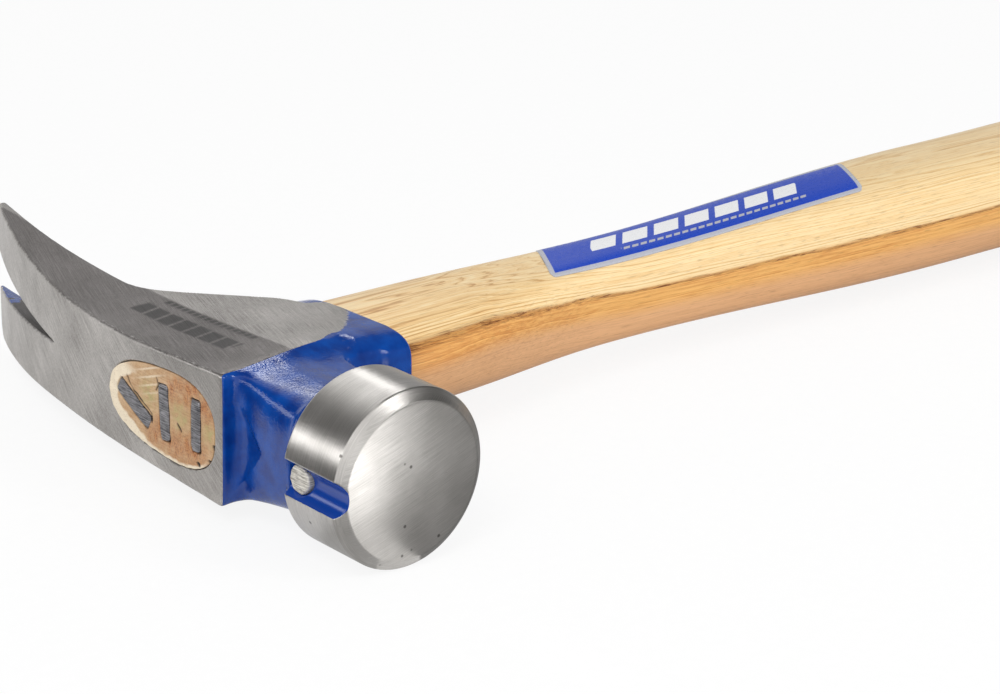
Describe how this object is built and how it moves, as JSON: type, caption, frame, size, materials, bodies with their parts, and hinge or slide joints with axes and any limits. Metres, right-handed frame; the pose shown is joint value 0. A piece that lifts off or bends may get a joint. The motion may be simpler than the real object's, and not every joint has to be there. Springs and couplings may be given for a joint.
{
  "type": "framing hammer",
  "caption": "Straight-claw framing hammer: a forged steel head with a round poll and magnetic nail groove, wedged onto a curved hickory handle.",
  "frame": {"origin": "centre of the eye at the flat top face of the head, on the plane of symmetry", "axes": "+X along the handle from the top of the head to the butt, +Y towards the claw, so that the hammer strikes along -Y, and +Z square to the cheeks, up as it lies on its side"},
  "size_m": [0.4066, 0.1515, 0.0348],
  "materials": {
    "head_steel": "ground and brushed forged steel, with blue enamel left on the unground parts of the socket and neck",
    "hickory": "lacquered hickory, straight grain",
    "wedge_steel": "dark steel, ground flush with the top of the head",
    "magnet_alloy": "pale mottled cast magnet",
    "label_foil": "glossy printed foil with a silver border"
  },
  "bodies": {
    "root": {"head": "head_steel", "handle": "hickory", "wedge_rear": "wedge_steel", "wedge_middle": "wedge_steel", "wedge_front": "wedge_steel", "magnet": "magnet_alloy", "label": "label_foil"}
  },
  "joints": []
}
